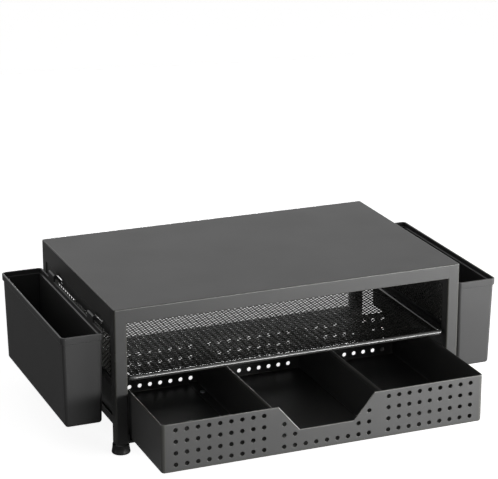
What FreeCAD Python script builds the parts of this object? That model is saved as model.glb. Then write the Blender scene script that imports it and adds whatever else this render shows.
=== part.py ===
"""Two-tier laptop stand with a drawer and two hanging pen holders.

Millimetres, +Z up, the front faces -Y, and X runs from left to right. The origin is on the desk,
under the middle of the box that the stand fills with its drawer pulled out by drawer_out.
Every sub-part is written to parts/NODE.step.
"""
import FreeCAD
import Part
import math
import os

V = FreeCAD.Vector

# Driving sizes: the frame
stand_width = 370.0
stand_depth = 238.0
stand_height = 150.0
sheet = 1.2                 # top panel, rails, runners and straps
panel_edge_radius = 1.0     # outside bend of the top panel
front_apron = 14.8          # height of the top panel's front and rear lips
side_apron = 21.0           # height of its side lips, which carry the pen holders
tube = 12.7                 # square leg tube
tube_wall = 1.0
tube_radius = 1.5

# Driving sizes: the shelf
shelf_seat_z = 74.0         # top of the ledges that the shelf lies on
rod = 5.0                   # round rod of the shelf's rim
rim_bend = 4.0              # centre-line radius of the rim's corners
rim_side_clearance = 1.0
rim_front_setback = 2.5
rail_face_height = 7.1
rail_lip = 1.6              # how far a rail's face stands above its ledge
rail_ledge = 19.8
mesh_thickness = 0.8
mesh_long = 20.0            # long way of one diamond cell
mesh_short = 10.0           # short way
mesh_open = 0.72            # share of a cell that is open, along each diagonal
mesh_border = 3.0

# Driving sizes: feet, nuts and corner screws
foot_height = 10.3
foot_base_radius = 9.3
foot_neck_radius = 7.7
foot_edge_radius = 1.6
foot_gap = 0.2              # under the leg when the foot is screwed home
stud_radius = 3.0
stud_length = 24.0
stud_socket = 5.0           # depth of the stud in the moulded foot
stud_running_gap = 0.08
nut_length = 12.0
bracket_sheet = 1.5
bracket_drop = 12.3
bracket_reach = 14.0
bracket_width = 10.5
screw_radius = 2.0
screw_head_radius = 3.8
screw_head_height = 2.2
screw_gap = 0.2
panel_nut_radius = 4.0
panel_nut_height = 4.0

# Driving sizes: drawer runners and straps
runner_web = 8.5            # height of a runner's upright
runner_ledge = 13.0
runner_stop = 17.0          # height of the stop at a runner's rear
strap_width = 12.0
stretcher_height = 16.0

# Driving sizes: the drawer
drawer_depth = 200.0
drawer_height = 49.7
drawer_wall = 1.5
drawer_corner = 4.0
drawer_base_radius = 2.5
drawer_side_clearance = 1.8
drawer_lift = 0.3           # running gap over the runners
drawer_stop_gap = 0.5
drawer_out = 85.5           # how far it stands open
hole_diameter = 4.5
hole_pitch_x = 11.2
hole_pitch_z = 11.7
hole_first_row = 7.9
hole_edge = 5.0             # least distance from a hole's centre to the finger cut-out
hole_side_margin = 12.0
hole_top_margin = 5.5
middle_columns = 9
section_gap = 20.8          # between the outermost holes of two neighbouring sections
cutout_top = 101.2
cutout_bottom = 57.0
cutout_depth = 26.3
divider_offset = 57.7
divider_sheet = 1.2
divider_flange = 10.0
hem_thickness = 3.0
hem_height = 5.0
hem_radius = 1.4            # round of the hem's upper edges
rivet_radius = 1.5
rivet_head_radius = 2.8
rivet_head = 0.7
rivet_gap = 0.1
rivet_inset = 30.0

# Driving sizes: the pen holders
holder_gap = 5.6            # between the frame's side and the holder's rim
holder_width = 44.0
holder_length = 212.0
holder_setback = 11.5       # holder's rim behind the frame's front
holder_top_z = 124.0
holder_height = 93.8
holder_wall = 2.0
holder_corner = 3.5
holder_draft = 2.0          # how far each wall leans in over its height
holder_base_radius = 3.0
lip_out = 1.4
lip_height = 7.0
lip_edge_radius = 0.7
hook_width = 18.0
hook_thickness = 2.0
hook_spacing = 130.0
hook_slope = 45.0           # degrees below level of the tongue that enters the slot
hook_rise = 7.0             # how far an ear stands above the holder's rim
hook_reach = 4.0            # how far a tongue passes the frame's outside face
slot_clearance = 1.2
slot_seat = 0.3             # under the tongue, where it rests in its slot
slot_land = 2.0             # plain sheet left under a slot
standoff_length = 12.0
standoff_height = 5.0
standoff_gap = 0.3

# Places that follow from the driving sizes
half_width = stand_width / 2
foot_overhang = foot_base_radius - tube / 2
front_y = -(stand_depth + foot_overhang - drawer_out) / 2
rear_y = front_y + stand_depth
middle_y = (front_y + rear_y) / 2
panel_under_z = stand_height - sheet
leg_inside_x = half_width - tube
leg_span = stand_depth - 2 * tube
strap_z = foot_height
ledge_z = strap_z + sheet
runner_top_z = ledge_z + sheet
drawer_z = runner_top_z + drawer_lift
drawer_top_z = drawer_z + drawer_height
drawer_half = leg_inside_x - sheet - drawer_side_clearance
drawer_front_y = front_y - drawer_out
drawer_rear_y = drawer_front_y + drawer_depth
rod_radius = rod / 2
rim_z = shelf_seat_z + rod_radius
rim_half = leg_inside_x - rim_side_clearance - rod_radius
rim_front_y = front_y + rim_front_setback + rod_radius
rim_rear_y = rear_y - rim_front_setback - rod_radius
holder_inner_x = half_width + holder_gap
holder_outer_x = holder_inner_x + holder_width
holder_front_y = front_y + holder_setback
holder_bottom_z = holder_top_z - holder_height
holder_middle_y = holder_front_y + holder_length / 2
hook_top_z = holder_top_z + hook_rise


def box(x0, x1, y0, y1, z0, z1):
    """A block between two corners."""
    return Part.makeBox(x1 - x0, y1 - y0, z1 - z0, V(x0, y0, z0))


def polygon_prism(points, direction):
    """A closed outline of points, carried along a direction."""
    return Part.Face(Part.makePolygon(points + [points[0]])).extrude(direction)


def rounded_outline(x0, x1, y0, y1, z, radius):
    """A level rectangle with round corners, as one closed wire."""
    block = box(x0, x1, y0, y1, z, z + 1)
    upright = [e for e in block.Edges if abs(e.tangentAt(e.FirstParameter).z) > 0.5]
    rounded = block.makeFillet(radius, upright)
    level = [f for f in rounded.Faces if abs(f.BoundBox.ZMax - z) < 1e-6]
    return level[0].OuterWire


def edges_at(shape, z):
    """The edges of a shape that lie level at one height."""
    return [e for e in shape.Edges if abs(e.BoundBox.ZMin - z) < 1e-4 and abs(e.BoundBox.ZMax - z) < 1e-4]


def mirror_x(shape):
    """The same piece on the other side of the stand."""
    return shape.mirror(V(0, 0, 0), V(1, 0, 0))


def mirror_y(shape):
    """The same piece at the other end, front to rear."""
    return shape.mirror(V(0, middle_y, 0), V(0, 1, 0))


def four_corners(shape):
    """A front left piece and its three mirror images."""
    pair = [shape, mirror_x(shape)]
    return pair + [mirror_y(s) for s in pair]


def save(name, shape):
    """Write one node."""
    shape.exportStep(os.path.join("parts", name + ".step"))


def diamond_sheet(outline, x0, x1, y0, y1):
    """Expanded sheet in the XY plane: an outline with a field of diamonds between two corners."""
    half_long = mesh_long * mesh_open / 2
    half_short = mesh_short * mesh_open / 2
    columns = int((x1 - x0 - 2 * half_long) / (mesh_long / 2))
    rows = int((y1 - y0 - 2 * half_short) / (mesh_short / 2))
    wires = []
    for i in range(columns + 1):
        for j in range(rows + 1):
            if (i + j) % 2 == 0:
                x = (x0 + x1) / 2 + (i - columns / 2) * mesh_long / 2
                y = (y0 + y1) / 2 + (j - rows / 2) * mesh_short / 2
                corners = [V(x - half_long, y, 0), V(x, y + half_short, 0),
                           V(x + half_long, y, 0), V(x, y - half_short, 0)]
                wires.append(Part.makePolygon(corners + [corners[0]]))
    return Part.Face([outline] + wires).extrude(V(0, 0, mesh_thickness))


# The frame

def tongue_upper_z(out):
    """Height of a tongue's upper face at a distance outside the frame's side."""
    return hook_top_z - (holder_gap - out) * math.tan(math.radians(hook_slope))


def tongue_lower_z(out):
    """Height of its lower face."""
    return tongue_upper_z(out) - hook_thickness / math.cos(math.radians(hook_slope))


def slot_floor_z():
    """Height of the edge that a tongue rests on."""
    return tongue_lower_z(-sheet - mesh_thickness) - slot_seat


def hook_slot(y):
    """The window in the left screen that one hook's tongue passes through."""
    half = hook_width / 2 + slot_clearance
    return box(-half_width, -half_width + 3 * sheet, y - half, y + half,
               slot_floor_z(), tongue_upper_z(-sheet) + slot_clearance)


def hook_places():
    """The Y of each hook on a holder."""
    return [holder_middle_y - hook_spacing / 2, holder_middle_y + hook_spacing / 2]


def top_panel():
    """Folded top: a flat sheet with lips between the legs on all four sides."""
    plan = rounded_outline(-half_width, half_width, front_y, rear_y, panel_under_z, tube_radius)
    panel = Part.Face(plan).extrude(V(0, 0, sheet))
    lip_z = stand_height - front_apron
    front_lip = box(-leg_inside_x, leg_inside_x, front_y, front_y + sheet, lip_z, panel_under_z)
    side_lip = box(-half_width, -half_width + sheet, front_y + tube, rear_y - tube,
                   stand_height - side_apron, panel_under_z)
    panel = panel.fuse([front_lip, mirror_y(front_lip), side_lip, mirror_x(side_lip)]).removeSplitter()
    return panel.makeFillet(panel_edge_radius, edges_at(panel, stand_height))


def leg():
    """Front left leg: square tube from the foot to the underside of the top panel."""
    x0 = -half_width
    outer = Part.Face(rounded_outline(x0, x0 + tube, front_y, front_y + tube, foot_height, tube_radius))
    inner = Part.Face(rounded_outline(x0 + tube_wall, x0 + tube - tube_wall, front_y + tube_wall,
                                      front_y + tube - tube_wall, foot_height, tube_radius - tube_wall))
    height = panel_under_z - foot_height
    return outer.extrude(V(0, 0, height)).cut(inner.extrude(V(0, 0, height)))


def side_mesh():
    """Left expanded-metal screen from the rail's ledge to behind the side lip. A plain band along
    its top holds the slots for the pen holder's hooks."""
    height = stand_height - side_apron + mesh_border - shelf_seat_z
    field_top = slot_floor_z() - slot_land - shelf_seat_z
    outline = Part.makePolygon([V(0, 0, 0), V(leg_span, 0, 0), V(leg_span, height, 0), V(0, height, 0), V(0, 0, 0)])
    panel = diamond_sheet(outline, mesh_border, leg_span - mesh_border, mesh_border, field_top)
    panel.rotate(V(0, 0, 0), V(1, 0, 0), 90)
    panel.rotate(V(0, 0, 0), V(0, 0, 1), 90)
    panel.translate(V(-half_width + sheet, front_y + tube, shelf_seat_z))
    return panel.cut([hook_slot(y) for y in hook_places()])


def side_rail():
    """Left angle rail between the legs, whose ledge carries the shelf."""
    y0, y1 = front_y + tube, rear_y - tube
    top = shelf_seat_z + rail_lip
    face = box(-half_width, -half_width + sheet, y0, y1, top - rail_face_height, top)
    ledge = box(-half_width + sheet, -half_width + sheet + rail_ledge, y0, y1, shelf_seat_z - sheet, shelf_seat_z)
    return face.fuse(ledge).removeSplitter()


def corner_bracket():
    """Front left angle bracket: welded to the leg, screwed up into the top panel."""
    x0 = -leg_inside_x
    y0 = front_y + sheet
    seat = panel_under_z - panel_nut_height
    upright = box(x0, x0 + bracket_sheet, y0, y0 + bracket_width, panel_under_z - bracket_drop, seat)
    shelf = box(x0, x0 + bracket_reach, y0, y0 + bracket_width, seat - bracket_sheet, seat)
    hole = Part.makeCylinder(screw_radius + screw_gap, bracket_sheet, screw_place(seat - bracket_sheet))
    return upright.fuse(shelf).removeSplitter().cut(hole)


def screw_place(z):
    """Axis of the front left corner screw at one height."""
    x = -leg_inside_x + bracket_reach - screw_head_radius - bracket_sheet
    return V(x, front_y + sheet + bracket_width / 2, z)


def corner_screw():
    """Front left pan-head screw, from under the bracket into the welded nut."""
    seat = panel_under_z - panel_nut_height - bracket_sheet
    shank = Part.makeCylinder(screw_radius, panel_nut_height + bracket_sheet - screw_gap, screw_place(seat))
    head = Part.makeCylinder(screw_head_radius, screw_head_height, screw_place(seat - screw_head_height))
    return shank.fuse(head)


def panel_nut():
    """Front left round weld nut under the top panel."""
    base = screw_place(panel_under_z - panel_nut_height)
    nut = Part.makeCylinder(panel_nut_radius, panel_nut_height, base)
    return nut.cut(Part.makeCylinder(screw_radius + screw_gap, panel_nut_height, base))


def leg_nut():
    """Front left threaded plug pressed into the foot of the leg."""
    inset = tube_wall
    x0, x1 = -half_width + inset, -half_width + tube - inset
    y0, y1 = front_y + inset, front_y + tube - inset
    plan = rounded_outline(x0, x1, y0, y1, foot_height, tube_radius - tube_wall)
    plug = Part.Face(plan).extrude(V(0, 0, nut_length))
    bore = Part.makeCylinder(stud_radius + stud_running_gap, nut_length, V(leg_x(), leg_y(), foot_height))
    return plug.cut(bore)


def leg_x():
    """X of the left legs' axes."""
    return -half_width + tube / 2


def leg_y():
    """Y of the front legs' axes."""
    return front_y + tube / 2


def foot():
    """Front left levelling foot: a moulded bell with a flat sole and a socket for its stud."""
    top = foot_height - foot_gap
    r0, r1, edge = foot_base_radius, foot_neck_radius, foot_edge_radius
    waist = V((r0 + r1) / 2 - edge / 4, 0, top / 2)
    sole = Part.LineSegment(V(0, 0, 0), V(r0 - edge, 0, 0)).toShape()
    quarter = edge * math.sqrt(0.5)
    round_edge = Part.Arc(V(r0 - edge, 0, 0), V(r0 - edge + quarter, 0, edge - quarter), V(r0, 0, edge)).toShape()
    flare = Part.Arc(V(r0, 0, edge), waist, V(r1, 0, top)).toShape()
    lid = Part.LineSegment(V(r1, 0, top), V(0, 0, top)).toShape()
    axis = Part.LineSegment(V(0, 0, top), V(0, 0, 0)).toShape()
    profile = Part.Face(Part.Wire([sole, round_edge, flare, lid, axis]))
    bell = profile.revolve(V(0, 0, 0), V(0, 0, 1), 360)
    socket = Part.makeCylinder(stud_radius, stud_socket, V(0, 0, top - stud_socket))
    bell = bell.cut(socket)
    bell.translate(V(leg_x(), leg_y(), 0))
    return bell


def stud():
    """Front left foot's steel stud, from its socket up through the plug."""
    return Part.makeCylinder(stud_radius, stud_length, V(leg_x(), leg_y(), foot_height - foot_gap - stud_socket))


# The shelf

def shelf_rim():
    """Closed loop of round rod round the shelf."""
    path = rounded_outline(-rim_half, rim_half, rim_front_y, rim_rear_y, rim_z, rim_bend)
    start = path.Edges[0]
    point = start.valueAt(start.FirstParameter)
    section = Part.Wire(Part.makeCircle(rod_radius, point, start.tangentAt(start.FirstParameter)))
    return path.makePipeShell([section], True, True)


def shelf_mesh():
    """Expanded-metal sheet that fills the rim, at the middle of its rod."""
    x = rim_half - rod_radius
    y0, y1 = rim_front_y + rod_radius, rim_rear_y - rod_radius
    z = rim_z - mesh_thickness / 2
    outline = rounded_outline(-x, x, y0, y1, z, rim_bend - rod_radius)
    outline.translate(V(0, 0, -z))
    panel = diamond_sheet(outline, -x + mesh_border, x - mesh_border, y0 + mesh_border, y1 - mesh_border)
    panel.translate(V(0, 0, z))
    return panel


# Drawer runners

def runner():
    """Left angle runner along both legs, with a stop turned up at its rear."""
    x0 = -leg_inside_x
    y0, y1 = front_y + sheet, rear_y - sheet
    web = box(x0, x0 + sheet, y0, y1, ledge_z, ledge_z + runner_web)
    ledge = box(x0 + sheet, x0 + sheet + runner_ledge, y0, y1, ledge_z, runner_top_z)
    stop_y = front_y + drawer_depth + drawer_stop_gap
    stop = box(x0 + sheet, x0 + sheet + runner_ledge, stop_y, stop_y + sheet, runner_top_z, ledge_z + runner_stop)
    return web.fuse([ledge, stop]).removeSplitter()


def front_strap():
    """Flat strap under the runners, between the front legs."""
    y0 = front_y + sheet
    return box(-leg_inside_x, leg_inside_x, y0, y0 + strap_width - sheet, strap_z, ledge_z)


def rear_stretcher():
    """Flat bar between the rear legs, behind the runners."""
    return box(-leg_inside_x, leg_inside_x, rear_y - sheet, rear_y, strap_z, strap_z + stretcher_height)


# The drawer, built where it stands open

def cutout():
    """Finger cut-out: a trapezoid through the front wall."""
    y = drawer_front_y - drawer_wall
    top = drawer_top_z + drawer_wall
    spread = (cutout_top - cutout_bottom) / 2 / cutout_depth
    low = drawer_top_z - cutout_depth
    wide = cutout_bottom / 2 + spread * (top - low)
    outline = [V(-cutout_bottom / 2, y, low), V(cutout_bottom / 2, y, low), V(wide, y, top), V(-wide, y, top)]
    return polygon_prism(outline, V(0, 3 * drawer_wall, 0))


def hole_columns():
    """X of every column of holes: a middle block, and a block each side as wide as fits."""
    half_block = (middle_columns - 1) / 2 * hole_pitch_x
    middle = [(i - (middle_columns - 1) / 2) * hole_pitch_x for i in range(middle_columns)]
    first = half_block + section_gap
    count = int((drawer_half - hole_side_margin - first) / hole_pitch_x) + 1
    side = [first + i * hole_pitch_x for i in range(count)]
    return middle + side + [-x for x in side]


def hole_rows():
    """Z of every row of holes, from the bottom up."""
    count = int((drawer_height - hole_first_row - hole_top_margin) / hole_pitch_z) + 1
    return [drawer_z + hole_first_row + i * hole_pitch_z for i in range(count)]


def wall_holes(y, keep_clear=None):
    """Punches for one wall, leaving out those too close to a shape."""
    punches = []
    for x in hole_columns():
        for z in hole_rows():
            near = keep_clear is not None and keep_clear.distToShape(Part.Vertex(x, y, z))[0] < hole_edge
            if not near:
                start = V(x, y - drawer_wall, z)
                punches.append(Part.makeCylinder(hole_diameter / 2, 3 * drawer_wall, start, V(0, 1, 0)))
    return punches


def tray_block(inset, z):
    """The tray's outside, or its inside when inset by the wall."""
    x = drawer_half - inset
    plan = rounded_outline(-x, x, drawer_front_y + inset, drawer_rear_y - inset, z, drawer_corner - inset)
    block = Part.Face(plan).extrude(V(0, 0, drawer_top_z - z))
    return block.makeFillet(drawer_base_radius - inset, edges_at(block, z))


def rivet_places():
    """Axes of the left divider's rivets, at the floor's underside."""
    x = -divider_offset - divider_sheet / 2 - divider_flange / 2
    return [V(x, drawer_front_y + rivet_inset, drawer_z), V(x, drawer_rear_y - rivet_inset, drawer_z)]


def rivet_holes():
    """Holes for both dividers' rivets, through the floor and the flanges."""
    left = [Part.makeCylinder(rivet_radius + rivet_gap, 4 * drawer_wall, p - V(0, 0, drawer_wall))
            for p in rivet_places()]
    return left + [mirror_x(h) for h in left]


def drawer_tray():
    """Pressed tray: floor and four walls, punched front and rear, with the finger cut-out."""
    tray = tray_block(0, drawer_z).cut(tray_block(drawer_wall, drawer_z + drawer_wall))
    opening = cutout()
    punches = wall_holes(drawer_front_y, opening) + wall_holes(drawer_rear_y - drawer_wall)
    return tray.cut([opening] + punches + rivet_holes())


def drawer_divider():
    """Left divider: an upright sheet with a hemmed top and a flange riveted to the floor."""
    y0 = drawer_front_y + drawer_wall
    y1 = drawer_rear_y - drawer_wall
    floor = drawer_z + drawer_wall
    x = -divider_offset
    half = divider_sheet / 2
    web = box(x - half, x + half, y0, y1, floor, drawer_top_z)
    hem = box(x - hem_thickness / 2, x + hem_thickness / 2, y0, y1, drawer_top_z - hem_height, drawer_top_z)
    long_edges = [e for e in edges_at(hem, drawer_top_z) if e.BoundBox.YLength > hem_thickness]
    hem = hem.makeFillet(hem_radius, long_edges)
    flange = box(x - half - divider_flange, x - half, y0 + drawer_base_radius, y1 - drawer_base_radius,
                 floor, floor + divider_sheet)
    return web.fuse([hem, flange]).removeSplitter().cut(rivet_holes())


def rivet(place):
    """One rivet, headed under the floor and over the flange."""
    length = drawer_wall + divider_sheet
    shank = Part.makeCylinder(rivet_radius, length, place)
    under = Part.makeCylinder(rivet_head_radius, rivet_head, place - V(0, 0, rivet_head))
    over = Part.makeCylinder(rivet_head_radius, rivet_head, place + V(0, 0, length))
    return shank.fuse([under, over]).removeSplitter()


# The pen holders

def holder_shell(inset, z):
    """The left bin's outside, or its inside when inset by the wall: walls lean in towards the foot."""
    x0, x1 = -holder_outer_x + lip_out + inset, -holder_inner_x - lip_out - inset
    y0, y1 = holder_front_y + lip_out + inset, holder_front_y + holder_length - lip_out - inset
    lean = holder_draft * (holder_top_z - z) / holder_height
    top = rounded_outline(x0, x1, y0, y1, holder_top_z, holder_corner - inset)
    foot_wire = rounded_outline(x0 + lean, x1 - lean, y0 + lean, y1 - lean, z, holder_corner - inset)
    shell = Part.makeLoft([foot_wire, top], True, True)
    return shell.makeFillet(holder_base_radius - inset, edges_at(shell, z))


def holder_lip(inset, z):
    """The stepped rim's outside, or its inside when inset by the wall."""
    x0, x1 = -holder_outer_x + inset, -holder_inner_x - inset
    y0, y1 = holder_front_y + inset, holder_front_y + holder_length - inset
    plan = rounded_outline(x0, x1, y0, y1, z, holder_corner + lip_out - inset)
    return Part.Face(plan).extrude(V(0, 0, holder_top_z - z))


def holder_hook():
    """One hook on the left holder, centred on Y = 0: an ear above the rim with a tongue that slopes
    down through the frame's slot."""
    half = hook_width / 2
    inner, outer = holder_gap, holder_gap + hook_thickness
    foot_z = holder_top_z - lip_height

    def at(out, z):
        return V(-half_width - out, -half, z)
    outline = [at(inner, foot_z), at(outer, foot_z), at(outer, hook_top_z), at(inner, hook_top_z),
               at(-hook_reach, tongue_upper_z(-hook_reach)), at(-hook_reach, tongue_lower_z(-hook_reach)),
               at(inner, tongue_lower_z(inner))]
    return polygon_prism(outline, V(0, hook_width, 0))


def standoff(y):
    """One rib on the left holder's back that rests against the frame's rail."""
    z0 = shelf_seat_z + rail_lip - rail_face_height
    return box(-holder_inner_x - lip_out - holder_draft, -half_width - standoff_gap,
               y - standoff_length / 2, y + standoff_length / 2, z0, z0 + standoff_height)


def pen_holder():
    """Left moulded bin with a stepped rim, two hooks and two ribs on its back."""
    step_z = holder_top_z - lip_height
    outer = holder_shell(0, holder_bottom_z).fuse(holder_lip(0, step_z))
    ribs = [standoff(y) for y in hook_places()]
    outer = outer.fuse(ribs)
    inner = holder_shell(holder_wall, holder_bottom_z + holder_wall)
    rim_room = holder_lip(holder_wall, step_z + holder_wall)
    bin_solid = outer.cut(inner.fuse(rim_room)).removeSplitter()
    bin_solid = bin_solid.makeFillet(lip_edge_radius, edges_at(bin_solid, holder_top_z))
    hooks = []
    for y in hook_places():
        hook = holder_hook()
        hook.translate(V(0, y, 0))
        hooks.append(hook)
    return bin_solid.fuse(hooks).removeSplitter()


def build():
    """Make and save every node."""
    os.makedirs("parts", exist_ok=True)
    corner_names = ["front_left", "front_right", "rear_left", "rear_right"]
    save("top_panel", top_panel())
    for place, shape in zip(corner_names, four_corners(leg())):
        save("leg_" + place, shape)
    for place, shape in zip(corner_names, four_corners(foot())):
        save("foot_" + place, shape)
    for place, shape in zip(corner_names, four_corners(stud())):
        save("foot_stud_" + place, shape)
    save("leg_nuts", Part.makeCompound(four_corners(leg_nut())))
    save("corner_brackets", Part.makeCompound(four_corners(corner_bracket())))
    save("corner_screws", Part.makeCompound(four_corners(corner_screw())))
    save("panel_nuts", Part.makeCompound(four_corners(panel_nut())))
    for name, left in [("side_mesh", side_mesh()), ("side_rail", side_rail()), ("drawer_runner", runner()),
                       ("drawer_divider", drawer_divider()), ("pen_holder", pen_holder())]:
        save(name + "_left", left)
        save(name + "_right", mirror_x(left))
    save("shelf_rim", shelf_rim())
    save("shelf_mesh", shelf_mesh())
    save("front_strap", front_strap())
    save("rear_stretcher", rear_stretcher())
    save("drawer_tray", drawer_tray())
    rivets = [rivet(p) for p in rivet_places()]
    save("divider_rivets", Part.makeCompound(rivets + [mirror_x(r) for r in rivets]))


build()
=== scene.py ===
import math

import bmesh
import bpy
import numpy as np
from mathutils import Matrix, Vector
from mathutils.geometry import delaunay_2d_cdt


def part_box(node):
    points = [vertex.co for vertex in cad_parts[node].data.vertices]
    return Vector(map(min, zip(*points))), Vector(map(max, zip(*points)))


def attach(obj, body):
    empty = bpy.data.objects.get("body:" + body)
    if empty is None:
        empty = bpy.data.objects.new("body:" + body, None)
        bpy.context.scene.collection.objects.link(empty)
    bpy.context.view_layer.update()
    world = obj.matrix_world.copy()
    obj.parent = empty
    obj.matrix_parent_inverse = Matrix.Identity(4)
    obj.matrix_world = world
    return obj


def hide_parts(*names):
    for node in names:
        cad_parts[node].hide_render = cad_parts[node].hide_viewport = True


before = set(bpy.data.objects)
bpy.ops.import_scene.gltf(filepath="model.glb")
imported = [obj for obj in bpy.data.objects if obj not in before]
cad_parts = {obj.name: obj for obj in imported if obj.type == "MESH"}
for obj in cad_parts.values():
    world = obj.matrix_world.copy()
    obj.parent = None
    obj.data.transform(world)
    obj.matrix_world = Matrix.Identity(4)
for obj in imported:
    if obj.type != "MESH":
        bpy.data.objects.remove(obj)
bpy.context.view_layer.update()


# Camera: a long lens from the left front, above the top panel. It stands where its lines of sight
# give the stand's own proportions, 22 degrees round from square on.
camera_place = (-0.7441, -1.7858, 0.8026)       # metres
camera_heading = 22.221                         # degrees from +Y towards +X
camera_drop = 17.974                            # degrees below level
camera_lens = 145.13                            # mm, on a 36 mm wide sensor

camera = bpy.data.objects.new("camera", bpy.data.cameras.new("camera"))
bpy.context.scene.collection.objects.link(camera)
camera.data.sensor_fit = "HORIZONTAL"
camera.data.sensor_width = 36.0
camera.data.lens = camera_lens
camera.data.clip_end = 20.0
camera.location = camera_place
camera.rotation_euler = (math.radians(90 - camera_drop), 0, math.radians(-camera_heading))
bpy.context.scene.camera = camera


# Powder-coated sheet steel: mild steel sprayed with polyester powder and baked, matte black.
# The baked film has a fine orange peel and a soft sheen, so edges catch the light in thin lines. Rounded
# edges and folds are also coloured lighter, as a painted highlight.
def linear(code):
    """An sRGB hex colour as linear RGBA: c/12.92 below 0.04045, else ((c + 0.055)/1.055)^2.4."""
    c = np.array([int(code[i:i + 2], 16) for i in (1, 3, 5)]) / 255
    rgb = np.where(c <= 0.04045, c / 12.92, ((c + 0.055) / 1.055) ** 2.4)
    return (*rgb.tolist(), 1.0)


def add(tree, kind, inputs=(), **settings):
    """Adds a node. inputs pairs a socket's name or number with a value, or with a socket to link."""
    made = tree.nodes.new(kind)
    for name, value in settings.items():
        setattr(made, name, value)
    for key, value in inputs:
        if isinstance(value, bpy.types.NodeSocket):
            tree.links.new(value, made.inputs[key])
        else:
            made.inputs[key].default_value = value
    return made


def coated(name, dark, light, edge_highlight, rough, grain_mm, grain_height_mm, mottle_mm, level):
    """A dielectric skin: two close colours in soft patches, with grain as bump. On the faces of rounded
    edges and folds it takes a third, lighter colour, a painted highlight, and is smoother there."""
    gloss_spread, polish = 0.04, 0.4
    material = bpy.data.materials.new(name)
    material.use_nodes = True
    tree = material.node_tree
    shader = tree.nodes["Principled BSDF"]
    place = add(tree, "ShaderNodeTexCoord").outputs["Object"]
    patches = add(tree, "ShaderNodeTexNoise", [("Vector", place), ("Scale", 1000 / mottle_mm),
                                               ("Detail", 3.0)])
    colour = add(tree, "ShaderNodeMix", [(0, patches.outputs["Fac"]), (6, linear(dark)), (7, linear(light))],
                 data_type="RGBA")
    gloss = add(tree, "ShaderNodeMapRange", [("Value", patches.outputs["Fac"]),
                                             ("To Min", rough - gloss_spread),
                                             ("To Max", rough + gloss_spread)])
    edge_lit = add(tree, "ShaderNodeAttribute", attribute_name="edge_highlight_and_polish").outputs["Fac"]
    edge_lit_colour = add(tree, "ShaderNodeMix", [(0, edge_lit), (6, colour.outputs[2]), (7, linear(edge_highlight))],
               data_type="RGBA")
    smoother = add(tree, "ShaderNodeMath", [(0, edge_lit), (1, -polish * rough), (2, gloss.outputs["Result"])],
                   operation="MULTIPLY_ADD")
    grain = add(tree, "ShaderNodeTexNoise", [("Vector", place), ("Scale", 1000 / grain_mm), ("Detail", 2.0)])
    bump = add(tree, "ShaderNodeBump", [("Height", grain.outputs["Fac"]), ("Strength", 1.0),
                                        ("Distance", grain_height_mm / 1000)])
    tree.links.new(edge_lit_colour.outputs[2], shader.inputs["Base Color"])
    tree.links.new(smoother.outputs[0], shader.inputs["Roughness"])
    tree.links.new(bump.outputs["Normal"], shader.inputs["Normal"])
    shader.inputs["Specular IOR Level"].default_value = level
    return material


# Orange peel on baked powder is about 0.6 mm across; it is drawn at 1.4 mm so that it can show.
# Its third colour, on the narrow faces of rounded edges and folds, is a painted highlight.
powder = coated("powder_coat_matte_black", "#2c2c2c", "#323231", "#42423f", 0.44, 1.4, 0.012, 45, 0.42)


# Top panel: one folded sheet, 1.2 mm thick, with short lips front and rear and deeper ones at the
# sides. It is laid on the four legs and its lips fill the gaps between them.
def mm(node):
    """A node's lowest and highest corners in millimetres."""
    low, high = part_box(node)
    return np.array(low) * 1000, np.array(high) * 1000


def quads(rows, columns):
    """Corner numbers of the cells of a grid, rows by columns, whose columns close on themselves."""
    i, j = np.meshgrid(np.arange(rows - 1), np.arange(columns), indexing="ij")
    k = (j + 1) % columns
    row, above = i * columns, (i + 1) * columns
    return np.stack([row + j, row + k, above + k, above + j], -1).reshape(-1, 4)


def end_caps(rows, columns):
    """Two many-sided faces that close the first and the last row of such a grid."""
    return np.stack([np.arange(columns), np.arange(columns) + (rows - 1) * columns])


def rounded_ring(x0, x1, y0, y1, radius, steps=8):
    """A rectangle with round corners: centre + radius (cos t, sin t), t over each quarter turn."""
    t = np.radians(np.arange(4)[:, None] * 90 + np.linspace(0, 90, steps + 1))
    x = np.array([x1 - radius, x0 + radius, x0 + radius, x1 - radius])[:, None] + radius * np.cos(t)
    y = np.array([y1 - radius, y1 - radius, y0 + radius, y0 + radius])[:, None] + radius * np.sin(t)
    return np.stack([x.ravel(), y.ravel()], -1)


def ring_stack(profile, bounds, radius, draft=0.0, steps=8):
    """A round-cornered box: for each (inset, z) of the profile, the rectangle moved in by inset,
    with corners of radius - inset. A draft leans the walls in by draft times the depth below the
    profile's highest point, and keeps the corners' radius."""
    x0, x1, y0, y1 = bounds
    least_corner = 0.4
    highest = max(z for _, z in profile)
    rings = []
    for inset, z in profile:
        lean = draft * (highest - z)
        corner = max(radius - inset, least_corner)
        inset += lean
        ring = rounded_ring(x0 + inset, x1 - inset, y0 + inset, y1 - inset, corner, steps)
        rings.append(np.column_stack([ring, np.full(len(ring), z)]))
    size = len(rings), len(rings[0])
    return np.concatenate(rings), [quads(*size), end_caps(*size)]


def quarter(inset, z, radius, start, stop, steps=4):
    """Points (inset, z) on an arc: centre + radius (cos t, sin t), t in degrees."""
    t = np.radians(np.linspace(start, stop, steps + 1))
    return list(zip(inset + radius * np.cos(t), z + radius * np.sin(t)))


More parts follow.
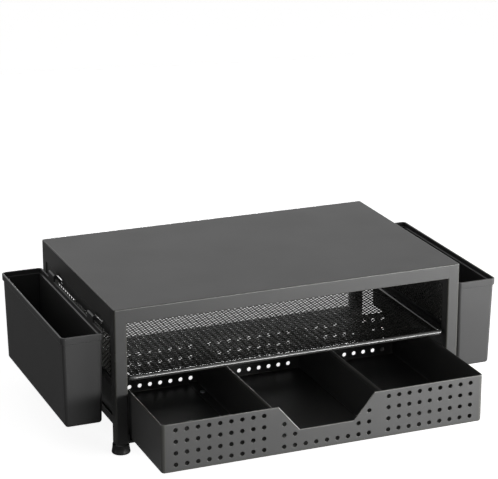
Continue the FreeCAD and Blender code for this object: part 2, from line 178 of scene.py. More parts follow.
def rounded_loop(points, radii, steps=4):
    """A closed outline with round corners. Each arc starts and ends radius / tan(half the corner's
    angle) from the corner, and runs v(s) = (sin((1-s)w) a + sin(sw) b) / sin w about its centre."""
    points = np.array(points, float)
    radii = np.broadcast_to(np.array(radii, float), len(points))
    to_last = np.roll(points, 1, 0) - points
    to_next = np.roll(points, -1, 0) - points
    to_last /= np.linalg.norm(to_last, axis=1)[:, None]
    to_next /= np.linalg.norm(to_next, axis=1)[:, None]
    half = np.arccos(np.clip((to_last * to_next).sum(1), -1, 1)) / 2
    reach = (radii / np.tan(half))[:, None]
    bisector = to_last + to_next
    centre = points + bisector / np.linalg.norm(bisector, axis=1)[:, None] * (radii / np.sin(half))[:, None]
    first, last = points + to_last * reach - centre, points + to_next * reach - centre
    turn = (np.pi - 2 * half)[:, None, None]
    s = np.linspace(0, 1, steps + 1)[None, :, None]
    arcs = (np.sin((1 - s) * turn) * first[:, None] + np.sin(s * turn) * last[:, None]) / np.sin(turn)
    return (centre[:, None] + arcs).reshape(-1, 2)


def bar(loop, along, start, end):
    """A closed outline carried straight along an axis. The outline is in Y and Z along X, in X and Z
    along Y, and in X and Y along Z."""
    count = len(loop)
    across = {"x": (1, 2), "y": (0, 2), "z": (0, 1)}[along]
    points = np.zeros((2, count, 3))
    points[:, :, across[0]] = loop[:, 0]
    points[:, :, across[1]] = loop[:, 1]
    points[0, :, "xyz".index(along)] = start
    points[1, :, "xyz".index(along)] = end
    return points.reshape(-1, 3), [quads(2, count), end_caps(2, count)]


def rectangle(a0, a1, b0, b1):
    """The four corners of a rectangle."""
    return [(a0, b0), (a1, b0), (a1, b1), (a0, b1)]


def mark_highlit_edges(mesh):
    """Marks with 1 the faces of a fold or a rounded edge: those narrower than 1.2 mm whose normal turns by
    over 4 degrees across two or more of their sides. The marked faces get a lighter colour, a painted
    highlight, and a smoother coat."""
    widest, least_turn = 0.0012, math.radians(4)
    counts, sides = len(mesh.polygons), len(mesh.loops)
    normals, areas, total = np.empty(counts * 3), np.empty(counts), np.empty(counts, int)
    mesh.polygons.foreach_get("normal", normals)
    mesh.polygons.foreach_get("area", areas)
    mesh.polygons.foreach_get("loop_total", total)
    edge, ends = np.empty(sides, int), np.empty(len(mesh.edges) * 2, int)
    points = np.empty(len(mesh.vertices) * 3)
    mesh.loops.foreach_get("edge_index", edge)
    mesh.edges.foreach_get("vertices", ends)
    mesh.vertices.foreach_get("co", points)
    normals, points, ends = normals.reshape(-1, 3), points.reshape(-1, 3), ends.reshape(-1, 2)
    length = np.linalg.norm(points[ends[:, 0]] - points[ends[:, 1]], axis=1)[edge]
    face = np.repeat(np.arange(counts), total)
    order = np.argsort(edge, kind="stable")
    twin = edge[order][1:] == edge[order][:-1]
    a, b = face[order][:-1][twin], face[order][1:][twin]
    bent = (normals[a] * normals[b]).sum(1) < math.cos(least_turn)
    bends = np.bincount(a[bent], minlength=counts) + np.bincount(b[bent], minlength=counts)
    longest = np.maximum.reduceat(length, np.cumsum(total) - total)
    edge_lit = (bends >= 2) & (areas / longest < widest)
    mesh.attributes.new("edge_highlight_and_polish", "FLOAT", "FACE").data.foreach_set("value", edge_lit.astype(np.float32))


def add_piece(name, surfaces, material, body, replaced):
    """Joins surfaces given in millimetres into one piece that replaces a node, with outward faces,
    smooth rounds, and creases from 35 degrees. A surface is its points and its faces, grouped by
    their number of corners. Points within 0.002 mm are one."""
    crease, same_place = math.radians(35), 2e-6
    starts = np.cumsum([0] + [len(points) for points, _ in surfaces])
    faces = []
    for (_, groups), start in zip(surfaces, starts):
        for group in groups:
            faces += (group + start).tolist()
    mesh = bpy.data.meshes.new(name)
    mesh.from_pydata(np.concatenate([points for points, _ in surfaces]) / 1000, [], faces)
    shaped = bmesh.new()
    shaped.from_mesh(mesh)
    bmesh.ops.remove_doubles(shaped, verts=shaped.verts, dist=same_place)
    bmesh.ops.recalc_face_normals(shaped, faces=shaped.faces)
    shaped.to_mesh(mesh)
    shaped.free()
    mesh.materials.append(material)
    mark_highlit_edges(mesh)
    mesh.shade_smooth()
    mesh.set_sharp_from_angle(angle=crease)
    piece = bpy.data.objects.new(name, mesh)
    bpy.context.scene.collection.objects.link(piece)
    piece.modifiers.new("weights", "WEIGHTED_NORMAL").keep_sharp = True
    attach(piece, body)
    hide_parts(replaced)


sheet = 1.2
panel_low, panel_high = mm("top_panel")
leg_low, leg_high = mm("leg_front_left")
rear_leg_low = mm("leg_rear_right")[0]
leg_inside_x = -leg_high[0]
front_apron = 14.8
panel_bend = 1.0
panel_corner = 1.5
lip_round = 0.45
hidden_round = 0.01
weld = 1.3                      # the lips' ends are welded to the legs and ground flush

under = leg_high[2]
lip_rounds = [lip_round, lip_round, hidden_round, hidden_round]
slab = [(0, under)] + quarter(panel_bend, panel_high[2] - panel_bend, panel_bend, 180, 90, 5)
panel_plan = (panel_low[0], panel_high[0], panel_low[1], panel_high[1])
front_lip_z = panel_high[2] - front_apron
panel_surfaces = [ring_stack(slab, panel_plan, panel_corner, steps=6)]
for y0 in (panel_low[1], panel_high[1] - sheet):
    lip = rounded_loop(rectangle(y0, y0 + sheet, front_lip_z, under), lip_rounds)
    panel_surfaces.append(bar(lip, "x", -leg_inside_x - weld, leg_inside_x + weld))
for x0 in (panel_low[0], panel_high[0] - sheet):
    lip = rounded_loop(rectangle(x0, x0 + sheet, panel_low[2], under), lip_rounds)
    panel_surfaces.append(bar(lip, "y", leg_high[1] - weld, rear_leg_low[1] + weld))
add_piece("folded_top", panel_surfaces, powder, "frame", "top_panel")


# Legs: square steel tube with rolled corners, 12.7 mm across with 1 mm walls, cut square and welded
# to the rails and runners before coating. Each is open below, where its threaded plug is pressed in.
leg_corner = 1.5
leg_wall = 1.0
tube_steps = 6


def square_tube(low, high):
    """An outer and an inner round-cornered square carried from low to high, joined at both ends."""
    outer = rounded_ring(low[0], high[0], low[1], high[1], leg_corner, tube_steps)
    inner = rounded_ring(low[0] + leg_wall, high[0] - leg_wall, low[1] + leg_wall, high[1] - leg_wall,
                         leg_corner - leg_wall, tube_steps)
    levels = [(outer, low[2]), (outer, high[2]), (inner, high[2]), (inner, low[2]), (outer, low[2])]
    rings = [np.column_stack([loop, np.full(len(loop), z)]) for loop, z in levels]
    return np.concatenate(rings), [quads(len(rings), len(outer))]


for end in ("front", "rear"):
    for side in ("left", "right"):
        name = "leg_" + end + "_" + side
        add_piece("tube_" + name, [square_tube(*mm(name))], powder, "frame", name)


# Levelling feet: moulded bells of smooth black polymer on zinc-plated studs, screwed into the legs.
# Each flares towards its sole along a quarter of a sine wave, and the sole has a rounded edge.
# Its third colour, on the narrow faces of the bell's rounds, is a painted highlight.
polymer = coated("moulded_foot_polymer_black", "#0b0b0b", "#0f0f0f", "#161616", 0.32, 2.0, 0.004, 30, 0.5)


def turned(profile, centre, steps=40):
    """A profile (radius, z) turned about a vertical axis: (r cos t, r sin t, z)."""
    t = np.radians(np.arange(steps) * 360 / steps)
    r, z = np.array(profile).T
    across = r[:, None, None] * np.stack([np.cos(t), np.sin(t)], -1) + np.array(centre)
    height = np.broadcast_to(z[:, None, None], (len(z), steps, 1))
    points = np.concatenate([across, height], -1).reshape(-1, 3)
    return points, [quads(len(z), steps), end_caps(len(z), steps)]


foot_sole_radius = 9.3
foot_neck_radius = 8.3
foot_edge = 1.6
foot_chamfer = 0.4
flare_steps = 8
for end in ("front", "rear"):
    for side in ("left", "right"):
        name = "foot_" + end + "_" + side
        low, high = mm(name)
        s = np.linspace(0, 1, flare_steps + 1)
        flare = foot_sole_radius - (foot_sole_radius - foot_neck_radius) * np.sin(s * np.pi / 2)
        height = foot_edge + (high[2] - foot_chamfer - foot_edge) * s
        bell = quarter(foot_sole_radius - foot_edge, foot_edge, foot_edge, -90, 0, 5)
        bell += list(zip(flare, height))[1:]
        bell += [(foot_neck_radius - foot_chamfer, high[2])]
        surface = turned(bell, (low[:2] + high[:2]) / 2)
        add_piece("bell_" + name, [surface], polymer, name, name)


# Shelf: a loop of round rod, bent at four corners and butt-welded, with fine expanded metal welded
# to it. The sheet's strands are slit and pulled open, so each row of bonds lies a little higher or
# lower. The rod's coat is drawn smoother than the sheet's, for its sharp line of light.
# Its narrow round faces all count as a rounded edge, so the whole rod takes the slightly lighter third
# colour, a painted highlight.
rod_coat = coated("powder_coat_smooth_on_rod", "#2c2c2c", "#323231", "#343433", 0.3, 1.4, 0.006, 45, 0.8)
rim_low, rim_high = mm("shelf_rim")
rod = (rim_high[2] - rim_low[2]) / 2
rim_z = rim_low[2] + rod
rim_bend = 4.0
bend_steps = 12
round_steps = 24
rim_path = rounded_ring(rim_low[0] + rod, rim_high[0] - rod, rim_low[1] + rod, rim_high[1] - rod, rim_bend,
                        bend_steps)
rim_out = rounded_ring(-1, 1, -1, 1, 1, bend_steps)
around = np.radians(np.arange(round_steps + 1) * 360 / round_steps)[:, None, None]
rim_across = rim_path + rod * np.cos(around) * rim_out
rim_height = np.broadcast_to(rim_z + rod * np.sin(around), (round_steps + 1, len(rim_path), 1))
rim_points = np.concatenate([rim_across, rim_height], -1).reshape(-1, 3)
rim_surface = rim_points, [quads(round_steps + 1, len(rim_path))]
add_piece("shelf_rod", [rim_surface], rod_coat, "frame", "shelf_rim")

# The real cells look about 5 mm long; they are drawn 7 mm long, so that the sheet stays light.
cell_long = 7.0
cell_short = 5.0
cell_open = 0.72
strand = 0.7
strand_lift = 0.2


def expanded(u, v):
    """Expanded metal about (u, v) cell centres: each cell is a rhombus with a like rhombus open in
    it, its rows lifted in turn. Gives points (u, v, w) and faces."""
    tip = np.array([[1, 0], [0, 1], [-1, 0], [0, -1]]) * [cell_long / 2, cell_short / 2]
    corners = np.concatenate([tip, tip * cell_open, tip * cell_open, tip])
    side = np.repeat([1, 1, -1, -1], len(tip)) * strand / 2
    points = np.stack([u[:, None] + corners[:, 0], v[:, None] + corners[:, 1],
                       np.broadcast_to(side, (len(u), len(corners)))], -1)
    row = np.round(points[:, :, 1] / (cell_short / 2) * 2) / 2
    points[:, :, 2] += strand_lift * np.cos(np.pi * row)
    ring = quads(len(corners) // len(tip), len(tip))
    return points.reshape(-1, 3), [(np.arange(len(u))[:, None, None] * len(corners) + ring).reshape(-1, 4)]


def cell_centres(u0, u1, v0, v1):
    """Centres of the staggered cells that lie wholly between two corners."""
    columns = int((u1 - u0) / cell_long * 2) - 1
    rows = int((v1 - v0) / cell_short * 2) - 1
    i, j = np.meshgrid(np.arange(columns), np.arange(rows))
    keep = (i + j) % 2 == 0
    u = (u0 + u1) / 2 + (i[keep] - (columns - 1) / 2) * cell_long / 2
    v = (j[keep] - (rows - 1) / 2) * cell_short / 2
    return u, v, (v0 + v1) / 2


def facing(surface, origin, u_axis, v_axis, w_axis):
    """A surface in (u, v, w) laid on three axes from an origin."""
    points, faces = surface
    return np.array(origin) + points @ np.array([u_axis, v_axis, w_axis], float), faces


# The outermost cells end in the rod, and those that would stick out at its bends are left out.
into_rod = 2.0
bend_margin = 0.5               # kept between the cells' centres and the bend
x1, y0, y1 = rim_high[0] - rod + into_rod, rim_low[1] + rod - into_rod, rim_high[1] - rod + into_rod
u, v, middle = cell_centres(-x1, x1, y0, y1)
corner_u = np.maximum(np.abs(u) - (x1 - into_rod - rim_bend), 0)
corner_v = np.maximum(np.abs(v) - ((y1 - y0) / 2 - into_rod - rim_bend), 0)
inside_bend = np.hypot(corner_u, corner_v) < rim_bend - bend_margin
cells = expanded(u[inside_bend], v[inside_bend])
in_shelf = facing(cells, (0, middle, rim_z), (1, 0, 0), (0, 1, 0), (0, 0, 1))
add_piece("shelf_expanded_metal", [in_shelf], powder, "frame", "shelf_mesh")


# Side screens: the same expanded metal in a plain border, spot-welded behind the side lips and to
# the rails. The deeper border along the top has two slots for the pen holder's hooks.
def offset_loop(loop, distances):
    """Moves each edge of a loop to its left by its distance. A corner's shift solves shift . n = d
    for the normals of both its edges, unless they turn so little that they count as one line."""
    least_turn = 1e-3
    edge = np.roll(loop, -1, 0) - loop
    normal = np.stack([-edge[:, 1], edge[:, 0]], -1) / np.linalg.norm(edge, axis=1)[:, None]
    last, d_last = np.roll(normal, 1, 0), np.roll(distances, 1)
    cross = last[:, 0] * normal[:, 1] - last[:, 1] * normal[:, 0]
    straight = np.abs(cross) < least_turn
    safe = np.where(straight, 1, cross)
    x = (d_last * normal[:, 1] - distances * last[:, 1]) / safe
    y = (distances * last[:, 0] - d_last * normal[:, 0]) / safe
    shift = np.where(straight[:, None], normal * distances[:, None], np.stack([x, y], -1))
    return loop + shift


def within(loop, points):
    """Even-odd rule: whether each point lies inside a loop."""
    a, b = loop[None], np.roll(loop, -1, 0)[None]
    p = points[:, None]
    spans = (a[..., 1] > p[..., 1]) != (b[..., 1] > p[..., 1])
    rise = np.where(b[..., 1] == a[..., 1], 1, b[..., 1] - a[..., 1])
    crossing = a[..., 0] + (p[..., 1] - a[..., 1]) / rise * (b[..., 0] - a[..., 0])
    return (spans & (p[..., 0] < crossing)).sum(1) % 2 == 1


def edge_rows(radius, thickness, steps):
    """A rounded edge as rows (inset, depth): r (1 - sin t), r (1 - cos t), and back again."""
    t = np.radians(np.linspace(0, 90, steps + 1))
    rows = list(zip(radius * (1 - np.sin(t)), radius * (1 - np.cos(t))))
    return rows + [(inset, thickness - depth) for inset, depth in reversed(rows)]


def plate(outline, thickness, rim, holes=(), hole_edge=0.2, soft=None, steps=3):
    """A flat plate in (u, v) with depth w. Each loop keeps the metal on its left, and its rounded
    edge is its rows of offsets. The faces are filled between the loops."""
    inside_outline, same_point = 1, 1e-7
    soft = np.ones(len(outline)) if soft is None else soft
    loops = [(outline, soft, rim)] + [(hole, np.ones(len(hole)), hole_edge) for hole in holes]
    surfaces, face_loops = [], []
    for loop, free, radius in loops:
        rows = edge_rows(radius, thickness, steps)
        rings = [np.column_stack([offset_loop(loop, free * inset), np.full(len(loop), depth)])
                 for inset, depth in rows]
        cells = quads(len(rows), len(loop)).reshape(len(rows) - 1, len(loop), 4)[:, free > 0]
        surfaces.append((np.concatenate(rings), [cells.reshape(-1, 4)]))
        face_loops.append(rings[0][:, :2])
    starts = np.cumsum([0] + [len(loop) for loop in face_loops]).tolist()
    edges = [(start + k, start + (k + 1) % len(loop))
             for loop, start in zip(face_loops, starts) for k in range(len(loop))]
    flat = [Vector(p) for p in np.concatenate(face_loops).tolist()]
    found = delaunay_2d_cdt(flat, edges, [list(range(len(outline)))], inside_outline, same_point)
    points, faces = np.array([tuple(p) for p in found[0]]), np.array(found[2])
    middles = points[faces].mean(1)
    for hole in face_loops[1:]:
        near = np.abs(middles - hole.mean(0)).max(1) < np.ptp(hole, axis=0).max()
        near[near] = within(hole, middles[near])
        faces, middles = faces[~near], middles[~near]
    for depth in (0, thickness):
        surfaces.append((np.column_stack([points, np.full(len(points), depth)]), [faces]))
    return surfaces


screen_low, screen_high = mm("side_mesh_left")
screen_border = 3.0
screen_edge = 0.1
screen_band_z = 118.27
under_border = 1.5              # how far the cells run under the border
slot_low_z, slot_high_z = 120.27, 125.4
slot_half = 10.2
slot_corner = 0.8
hook_spacing = 130.0
holder_low, holder_high = mm("pen_holder_left")
hook_ys = [(holder_low[1] + holder_high[1]) / 2 + k * hook_spacing / 2 for k in (-1, 1)]
field = (screen_low[1] + screen_border, screen_high[1] - screen_border,
         screen_low[2] + screen_border, screen_band_z)
slots = [rectangle(y - slot_half, y + slot_half, slot_low_z, slot_high_z) for y in hook_ys]
windows = [np.array(rectangle(*field))[::-1]] + [rounded_loop(slot, slot_corner)[::-1] for slot in slots]
border = np.array(rectangle(screen_low[1], screen_high[1], screen_low[2], screen_high[2]))
screen_thickness = screen_high[0] - screen_low[0]
screen_plate = plate(border, screen_thickness, screen_edge, windows, screen_edge)
u, v, middle = cell_centres(field[0] - under_border, field[1] + under_border,
                            field[2] - under_border, field[3] + under_border)
for side, sign in (("left", -1), ("right", 1)):
    outside = sign * -screen_low[0]
    halfway = outside - sign * screen_thickness / 2
    axes = (0, 1, 0), (0, 0, 1), (-sign, 0, 0)
    surfaces = [facing(surface, (outside, 0, 0), *axes) for surface in screen_plate]
    surfaces.append(facing(expanded(u, v), (halfway, 0, middle), *axes))
    add_piece("screen_" + side, surfaces, powder, "frame", "side_mesh_" + side)


# Side rails, runners, strap and stretcher: folded angle and flat steel, welded between the legs
# before coating. Near each runner's rear end a tab stands up as the drawer's stop.
bend = 0.5
fold = 0.2
strap_edge = 0.3
shelf_seat_z = 74.0
runner_web = 8.5
drawer_depth = 200.0
stop_gap = 0.5
stop_corner = 2.5
stop_y = panel_low[1] + drawer_depth + stop_gap
for side, sign in (("left", -1), ("right", 1)):
    low, high = mm("side_rail_" + side)
    face = low[0] if sign < 0 else high[0]
    tip = face - sign * (high[0] - low[0])
    angle = [(face, low[2]), (face - sign * sheet, low[2]), (face - sign * sheet, shelf_seat_z - sheet),
             (tip, shelf_seat_z - sheet), (tip, shelf_seat_z), (face - sign * sheet, shelf_seat_z),
             (face - sign * sheet, high[2]), (face, high[2])]
    angle = rounded_loop(angle, [bend, bend, fold, bend, bend, fold, bend, bend])
    add_piece("rail_" + side, [bar(angle, "y", low[1], high[1])],
              powder, "frame", "side_rail_" + side)
    low, high = mm("drawer_runner_" + side)
    web = low[0] if sign < 0 else high[0]
    tip = web - sign * (high[0] - low[0])
    section = [(web, low[2]), (tip, low[2]), (tip, low[2] + sheet), (web - sign * sheet, low[2] + sheet),
               (web - sign * sheet, low[2] + runner_web), (web, low[2] + runner_web)]
    section = rounded_loop(section, [bend, bend, bend, fold, bend, bend])
    stop = rectangle(*sorted((web - sign * sheet, tip)), low[2] + sheet, high[2])
    stop = rounded_loop(stop, [hidden_round, hidden_round, stop_corner, stop_corner])
    add_piece("runner_" + side, [bar(section, "y", low[1], high[1]), bar(stop, "y", stop_y, stop_y + sheet)],
              powder, "frame", "drawer_runner_" + side)
for name, piece_name in (("front_strap", "strap_front"), ("rear_stretcher", "stretcher_rear")):
    low, high = mm(name)
    flat = rounded_loop(rectangle(low[1], high[1], low[2], high[2]), strap_edge)
    add_piece(piece_name, [bar(flat, "x", low[0], high[0])], powder, "frame", name)


# Drawer tray: pressed from one 1.5 mm sheet, with a rounded base and corners and a rolled upper edge.
# Round holes are punched in its front and rear, and a finger cut-out in its front.
tray_low, tray_high = mm("drawer_tray")
tray_wall = 1.5
tray_corner = 4.0
tray_base = 2.5
hole_radius = 2.25
hole_pitch_x = 11.2
hole_pitch_z = 11.7
hole_first_row = 7.9
hole_from_cutout = 5.0
middle_columns = 9
side_columns = 9
hole_rows = 4
section_gap = 20.8
punched_edge = 0.25
cutout_half_top = 50.6
cutout_half_bottom = 28.5
cutout_depth = 26.3
cutout_round = 1.2
roll_steps = 4

tray_plan = (tray_low[0], tray_high[0], tray_low[1], tray_high[1])
wall_foot = tray_low[2] + tray_base
roll = tray_wall / 2
base_outer = quarter(tray_base, wall_foot, tray_base, 270, 180, 5)
base_inner = quarter(tray_base, wall_foot, tray_base - tray_wall, 270, 180, 5)
bowl = [ring_stack(row, tray_plan, tray_corner) for row in (base_outer, base_inner)]
bowl = [(points, [sides, caps[:1]]) for points, (sides, caps) in bowl]

# The straight stretches of the front and rear walls are left out of the ring: punched walls go there.
over = [(depth, tray_high[2] - inset) for inset, depth in edge_rows(roll, tray_wall, roll_steps)]
wall_rows = [(0, wall_foot)] + over + [(tray_wall, wall_foot)]
walls, (wall_faces, _) = ring_stack(wall_rows, tray_plan, tray_corner)
per_side = len(walls) // len(wall_rows)
front_or_rear = np.isin(wall_faces[:, 0] % per_side, [per_side // 4 - 1, per_side // 4 * 3 - 1])
wall_faces = wall_faces[~front_or_rear]

# The same powder coat on the tray, drawn slightly paler and rougher than on the frame. The paler tone is
# painted light that brightens the drawer's front, and its third colour, on rounded edges, is a painted
# highlight.
tray_coat = coated("powder_coat_matte_black_tray", "#373737", "#3d3d3c", "#4d4d4a", 0.5, 1.4, 0.014, 45, 0.5)
row_z = tray_low[2] + hole_first_row + np.arange(hole_rows) * hole_pitch_z
middle_x = (np.arange(middle_columns) - (middle_columns - 1) / 2) * hole_pitch_x
side_x = middle_x[-1] + section_gap + np.arange(side_columns) * hole_pitch_x
hole_x, hole_z = np.meshgrid(np.concatenate([-side_x, middle_x, side_x]), row_z)
hole_x, hole_z = hole_x.ravel(), hole_z.ravel()
hole_steps = 24
turns = -np.arange(hole_steps) * 2 * np.pi / hole_steps
circle = hole_radius * np.stack([np.cos(turns), np.sin(turns)], -1)

# The finger cut-out. A hole closer to its edge than hole_from_cutout isn't punched.
left, right = tray_low[0] + tray_corner, tray_high[0] - tray_corner
low_edge = tray_high[2] - cutout_depth
notch = [(cutout_half_top, tray_high[2]), (cutout_half_bottom, low_edge),
         (-cutout_half_bottom, low_edge), (-cutout_half_top, tray_high[2])]
slope = np.array([cutout_half_top - cutout_half_bottom, cutout_depth])
slope /= np.linalg.norm(slope)
past = np.stack([np.abs(hole_x) - cutout_half_bottom, hole_z - low_edge], -1)
off_slope = past @ np.array([slope[1], -slope[0]])
beside = np.where(past[:, 1] < 0, np.hypot(np.maximum(past[:, 0], 0), past[:, 1]), off_slope)
clear = beside > hole_from_cutout

# The notch is rounded between two helper points on the upper edge, whose own arcs are then dropped.
arc_points = 5                  # that rounded_loop gives each corner
helper_x = 60.0
notch = rounded_loop([(helper_x, tray_high[2])] + notch + [(-helper_x, tray_high[2])], cutout_round)
plain = np.array(rectangle(left, right, wall_foot, tray_high[2]))
notched = np.concatenate([plain[:3], notch[arc_points:-arc_points], plain[3:]])


def punched_wall(outline, keep, y, into):
    """A tray wall in the XZ plane, open where it runs into the base and the corners."""
    ahead = np.roll(outline, -1, 0)
    joins = ((outline[:, 1] == wall_foot) & (ahead[:, 1] == wall_foot)) | (
        (outline[:, 0] == ahead[:, 0]) & (np.abs(outline[:, 0]) == right))
    punched = [circle + (x, z) for x, z in zip(hole_x[keep], hole_z[keep])]
    surfaces = plate(outline, tray_wall, roll, punched, punched_edge, np.where(joins, 0.0, 1.0), roll_steps)
    return [facing(s, (0, y, 0), (1, 0, 0), (0, 0, 1), (0, into, 0)) for s in surfaces]


tray = bowl + [(walls, [wall_faces])]
tray += punched_wall(notched, clear, tray_low[1], 1)
tray += punched_wall(plain, np.full(len(hole_x), True), tray_high[1], -1)
add_piece("pressed_tray", tray, tray_coat, "drawer", "drawer_tray")


# Dividers: folded sheet with a hemmed upper edge, riveted to the tray's floor by a flange.
hem = 3.0
hem_height = 5.0
divider_rounds = [0.3, 1.0, 0.2, 0.4, 1.3, 1.3, 0.4, 0.2, 0.6, 0.3]     # one for each corner of the section
for side, sign in (("left", -1), ("right", 1)):
    low, high = mm("drawer_divider_" + side)
    flange, hem_near = (low[0], high[0]) if sign < 0 else (high[0], low[0])
    hem_far = hem_near + sign * hem
    axis = hem_near + sign * hem / 2
    web_near, web_far = axis - sign * sheet / 2, axis + sign * sheet / 2
    under_hem = high[2] - hem_height
    folded = [(flange, low[2]), (web_near, low[2]), (web_near, under_hem), (hem_near, under_hem),
              (hem_near, high[2]), (hem_far, high[2]), (hem_far, under_hem), (web_far, under_hem),
              (web_far, low[2] + sheet), (flange, low[2] + sheet)]
    outline = rounded_loop(folded, divider_rounds)
    add_piece("divider_" + side, [bar(outline, "y", low[1], high[1])], tray_coat, "drawer",
              "drawer_divider_" + side)


# Pen holders: injection-moulded ABS bins, satin black, with leaning walls, a stepped rim, two hooks
# and two ribs on the back. They hang in the screens' slots.
# Its third colour, on the narrow faces of the rounded corners and rim, is a painted highlight.
abs_plastic = coated("moulded_abs_satin_black", "#2c2c2c", "#303030", "#3e3e3e", 0.5, 1.2, 0.008, 60, 0.35)

rim_corner = 4.9
lip_out = 1.4
lip_height = 7.0
holder_wall = 2.0
holder_base = 3.0
holder_gap = 5.6
holder_top_z = 124.0
hook_half = 9.0
hook_thick = 2.0
hook_reach = 4.0
hook_rise = 7.0
rib_z, rib_height, rib_half, rib_gap = 68.5, 5.0, 6.0, 0.3
rib_corner = 0.4
into_wall = 0.3                 # how far a rib runs into the bin's back
hook_rounds = [0.1, 0.1, 1.6, 0.3, 0.5, 0.5, 0.8]       # one for each corner of the hook's outline
hook_above_step = 1.0
lip_under, lip_outside, lip_inside = 0.5, 0.7, 0.6      # radii of the lip's edges
step_fillet = 0.3
wall_lean = 2.0                 # from the top to the foot
foot_z = holder_low[2]
step_z = holder_top_z - lip_height
holder_draft = wall_lean / (holder_top_z - foot_z)

# One profile, up the outside and down the inside.
body_foot = lip_out + holder_base
inner_step = step_z + holder_wall
holder_profile = quarter(body_foot, foot_z + holder_base, holder_base, 270, 180, 6)
holder_profile += [(lip_out, step_z - step_fillet)]
holder_profile += quarter(lip_under, step_z + lip_under, lip_under, 270, 180, 3)
holder_profile += quarter(lip_outside, holder_top_z - lip_outside, lip_outside, 180, 90, 4)
holder_profile += quarter(holder_wall - lip_inside, holder_top_z - lip_inside, lip_inside, 90, 0, 4)
holder_profile += [(holder_wall, inner_step + step_fillet), (holder_wall + step_fillet, inner_step)]
holder_profile += [(lip_out + holder_wall, inner_step - step_fillet)]
holder_profile += quarter(body_foot, foot_z + holder_base, holder_base - holder_wall, 180, 270, 5)

# A hook, as (distance out from the frame, z): up from the lip, then down at 45 degrees into its slot.
hook_top = holder_top_z + hook_rise
hook_root = step_z + hook_above_step
hook_fall = hook_thick * math.sqrt(2)
hook_tip = hook_top - holder_gap - hook_reach
hook_outline = [(holder_gap, hook_root), (holder_gap + hook_thick, hook_root),
                (holder_gap + hook_thick, hook_top), (holder_gap, hook_top),
                (-hook_reach, hook_tip), (-hook_reach, hook_tip - hook_fall),
                (holder_gap, hook_top - hook_fall)]

for side, sign in (("left", -1), ("right", 1)):
    name = "pen_holder_" + side
    low, high = mm(name)
    outer_x = low[0] if sign < 0 else high[0]
    inner_x = sign * (-panel_low[0] + holder_gap)
    frame_x = sign * -panel_low[0]
    plan = (*sorted((outer_x, inner_x)), low[1], high[1])
    surfaces = [ring_stack(holder_profile, plan, rim_corner, holder_draft, steps=10)]
    back = inner_x + sign * (lip_out + holder_draft * (holder_top_z - rib_z))
    rib_x = sorted((frame_x + sign * rib_gap, back + sign * into_wall))
    rib = rounded_loop(rectangle(*rib_x, rib_z, rib_z + rib_height), rib_corner)
    hook = rounded_loop([(frame_x + sign * out, z) for out, z in hook_outline], hook_rounds)
    for y in hook_ys:
        surfaces.append(bar(hook, "y", y - hook_half, y + hook_half))
        surfaces.append(bar(rib, "y", y - rib_half, y + rib_half))
    add_piece("bin_" + side, surfaces, abs_plastic, "holder_" + side, name)


# Hardware: zinc-plated steel studs, threaded plugs, weld nuts and screws keep their solids; the
# corner brackets are coated with the frame. The divider rivets have domed heads.
def plated(name, colour, rough):
    """Electroplated zinc: a cool bright metal, faintly clouded."""
    cloud_mm = 3.0
    gloss_spread = 0.08
    material = bpy.data.materials.new(name)
    material.use_nodes = True
    tree = material.node_tree
    shader = tree.nodes["Principled BSDF"]
    place = add(tree, "ShaderNodeTexCoord").outputs["Object"]
    cloud = add(tree, "ShaderNodeTexNoise", [("Vector", place), ("Scale", 1000 / cloud_mm), ("Detail", 4.0)])
    gloss = add(tree, "ShaderNodeMapRange", [("Value", cloud.outputs["Fac"]),
                                             ("To Min", rough - gloss_spread),
                                             ("To Max", rough + gloss_spread)])
    tree.links.new(gloss.outputs["Result"], shader.inputs["Roughness"])
    shader.inputs["Base Color"].default_value = linear(colour)
    shader.inputs["Metallic"].default_value = 1.0
    return material


zinc = plated("zinc_plate_bright", "#b9bcc0", 0.32)
hardware = ["leg_nuts", "corner_screws", "panel_nuts"]
hardware += ["foot_stud_" + end + "_" + side for end in ("front", "rear") for side in ("left", "right")]
for name, finish in [(name, zinc) for name in hardware] + [("corner_brackets", powder)]:
    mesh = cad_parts[name].data
    mesh.materials.clear()
    mesh.materials.append(finish)

rivet_low, rivet_high = mm("divider_rivets")
rivet_head = 2.8
rivet_dome = 0.7
rivet_steps = 24
dome = [(rivet_head, 0)] + quarter(rivet_head - rivet_dome, rivet_dome, rivet_dome, 0, 90, 4)
upper = [(r, rivet_high[2] - rivet_dome + z) for r, z in dome]
lower = [(r, rivet_low[2] + rivet_dome - z) for r, z in dome]
rivets = []
for x in (rivet_low[0] + rivet_head, rivet_high[0] - rivet_head):
    for y in (rivet_low[1] + rivet_head, rivet_high[1] - rivet_head):
        rivets += [turned(upper, (x, y), rivet_steps), turned(lower, (x, y), rivet_steps)]
add_piece("rivets", rivets, zinc, "drawer", "divider_rivets")


# Floor and light: a pale seamless floor and a white surround. The soft lamps stand low, about level
# with the top panel, so that none glares on it: two at the right front, a weak one at the left, and
# one behind.
floor_half = 6.0                # metres
floor_glow = 0.88               # with the lamps' light it comes to white before the camera
soft_level = 0.09               # the surround's light on the object
floor_mesh = bpy.data.meshes.new("floor")
corners = rectangle(-floor_half, floor_half, -floor_half, floor_half)
floor_mesh.from_pydata([(x, y, 0) for x, y in corners], [], [(0, 1, 2, 3)])
floor = bpy.data.objects.new("floor", floor_mesh)
bpy.context.scene.collection.objects.link(floor)
paper = bpy.data.materials.new("seamless_paper")
paper.use_nodes = True
tree = paper.node_tree
shader = tree.nodes["Principled BSDF"]
shader.inputs["Roughness"].default_value = 0.9
shader.inputs["Specular IOR Level"].default_value = 0.1
ray = add(tree, "ShaderNodeLightPath").outputs
mirrored = add(tree, "ShaderNodeMath", [(0, ray["Is Glossy Ray"]), (1, ray["Is Transmission Ray"])],
               operation="MAXIMUM")
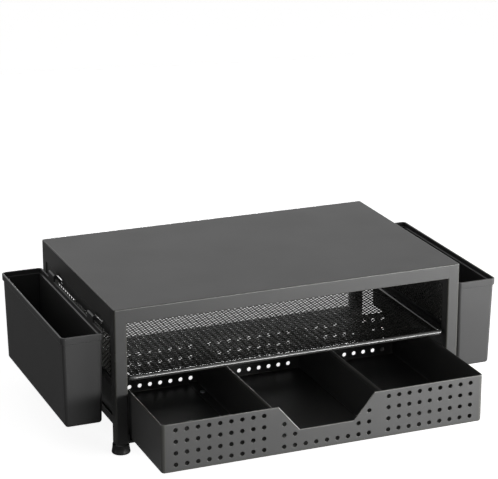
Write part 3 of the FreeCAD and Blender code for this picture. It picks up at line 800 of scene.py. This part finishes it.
shown = add(tree, "ShaderNodeMath", [(0, ray["Is Camera Ray"]), (1, mirrored.outputs[0])],
            operation="MAXIMUM")
seen = add(tree, "ShaderNodeMix", [(0, shown.outputs[0]), (6, linear("#6a6a6a")), (7, linear("#ffffff"))],
           data_type="RGBA")
tree.links.new(seen.outputs[2], shader.inputs["Base Color"])
glow = add(tree, "ShaderNodeMath", [(0, ray["Is Camera Ray"]), (1, floor_glow)], operation="MULTIPLY")
shader.inputs["Emission Color"].default_value = linear("#ffffff")
tree.links.new(glow.outputs[0], shader.inputs["Emission Strength"])
floor_mesh.materials.append(paper)

world = bpy.data.worlds.new("surround")
bpy.context.scene.world = world
world.use_nodes = True
tree = world.node_tree
tree.nodes.clear()
ray = add(tree, "ShaderNodeLightPath").outputs
to_camera = add(tree, "ShaderNodeMath", [(0, ray["Is Camera Ray"]), (1, ray["Is Glossy Ray"])],
                operation="MAXIMUM")
shown = add(tree, "ShaderNodeMath", [(0, to_camera.outputs[0]), (1, ray["Is Transmission Ray"])],
            operation="MAXIMUM")
dim = add(tree, "ShaderNodeBackground", [("Color", linear("#ffffff")), ("Strength", soft_level)])
white = add(tree, "ShaderNodeBackground", [("Color", linear("#ffffff")), ("Strength", 1.0)])
mixed = add(tree, "ShaderNodeMixShader", [(0, shown.outputs[0]), (1, dim.outputs[0]), (2, white.outputs[0])])
add(tree, "ShaderNodeOutputWorld", [("Surface", mixed.outputs[0])])


def lamp(name, place, aim, size, watts):
    """A rectangular soft lamp in metres, facing a point."""
    light = bpy.data.lights.new(name, "AREA")
    light.shape = "RECTANGLE"
    light.size, light.size_y = size
    light.energy = watts
    made = bpy.data.objects.new(name, light)
    made.location = place
    made.rotation_euler = (Vector(aim) - Vector(place)).to_track_quat("-Z", "Y").to_euler()
    bpy.context.scene.collection.objects.link(made)


lamp("key_front", (0.5, -1.1, 0.12), (0, 0, 0.08), (0.7, 0.18), 13)
lamp("key_right", (1.0, -0.5, 0.1), (0, 0, 0.075), (0.45, 0.18), 16)
lamp("edge_left", (-1.9, -0.15, 0.075), (0, 0, 0.075), (0.3, 0.14), 2.5)
lamp("fill_rear", (0.25, 1.5, 0.075), (0, 0, 0.075), (1.0, 0.14), 10)

bpy.context.scene.view_settings.view_transform = "Standard"
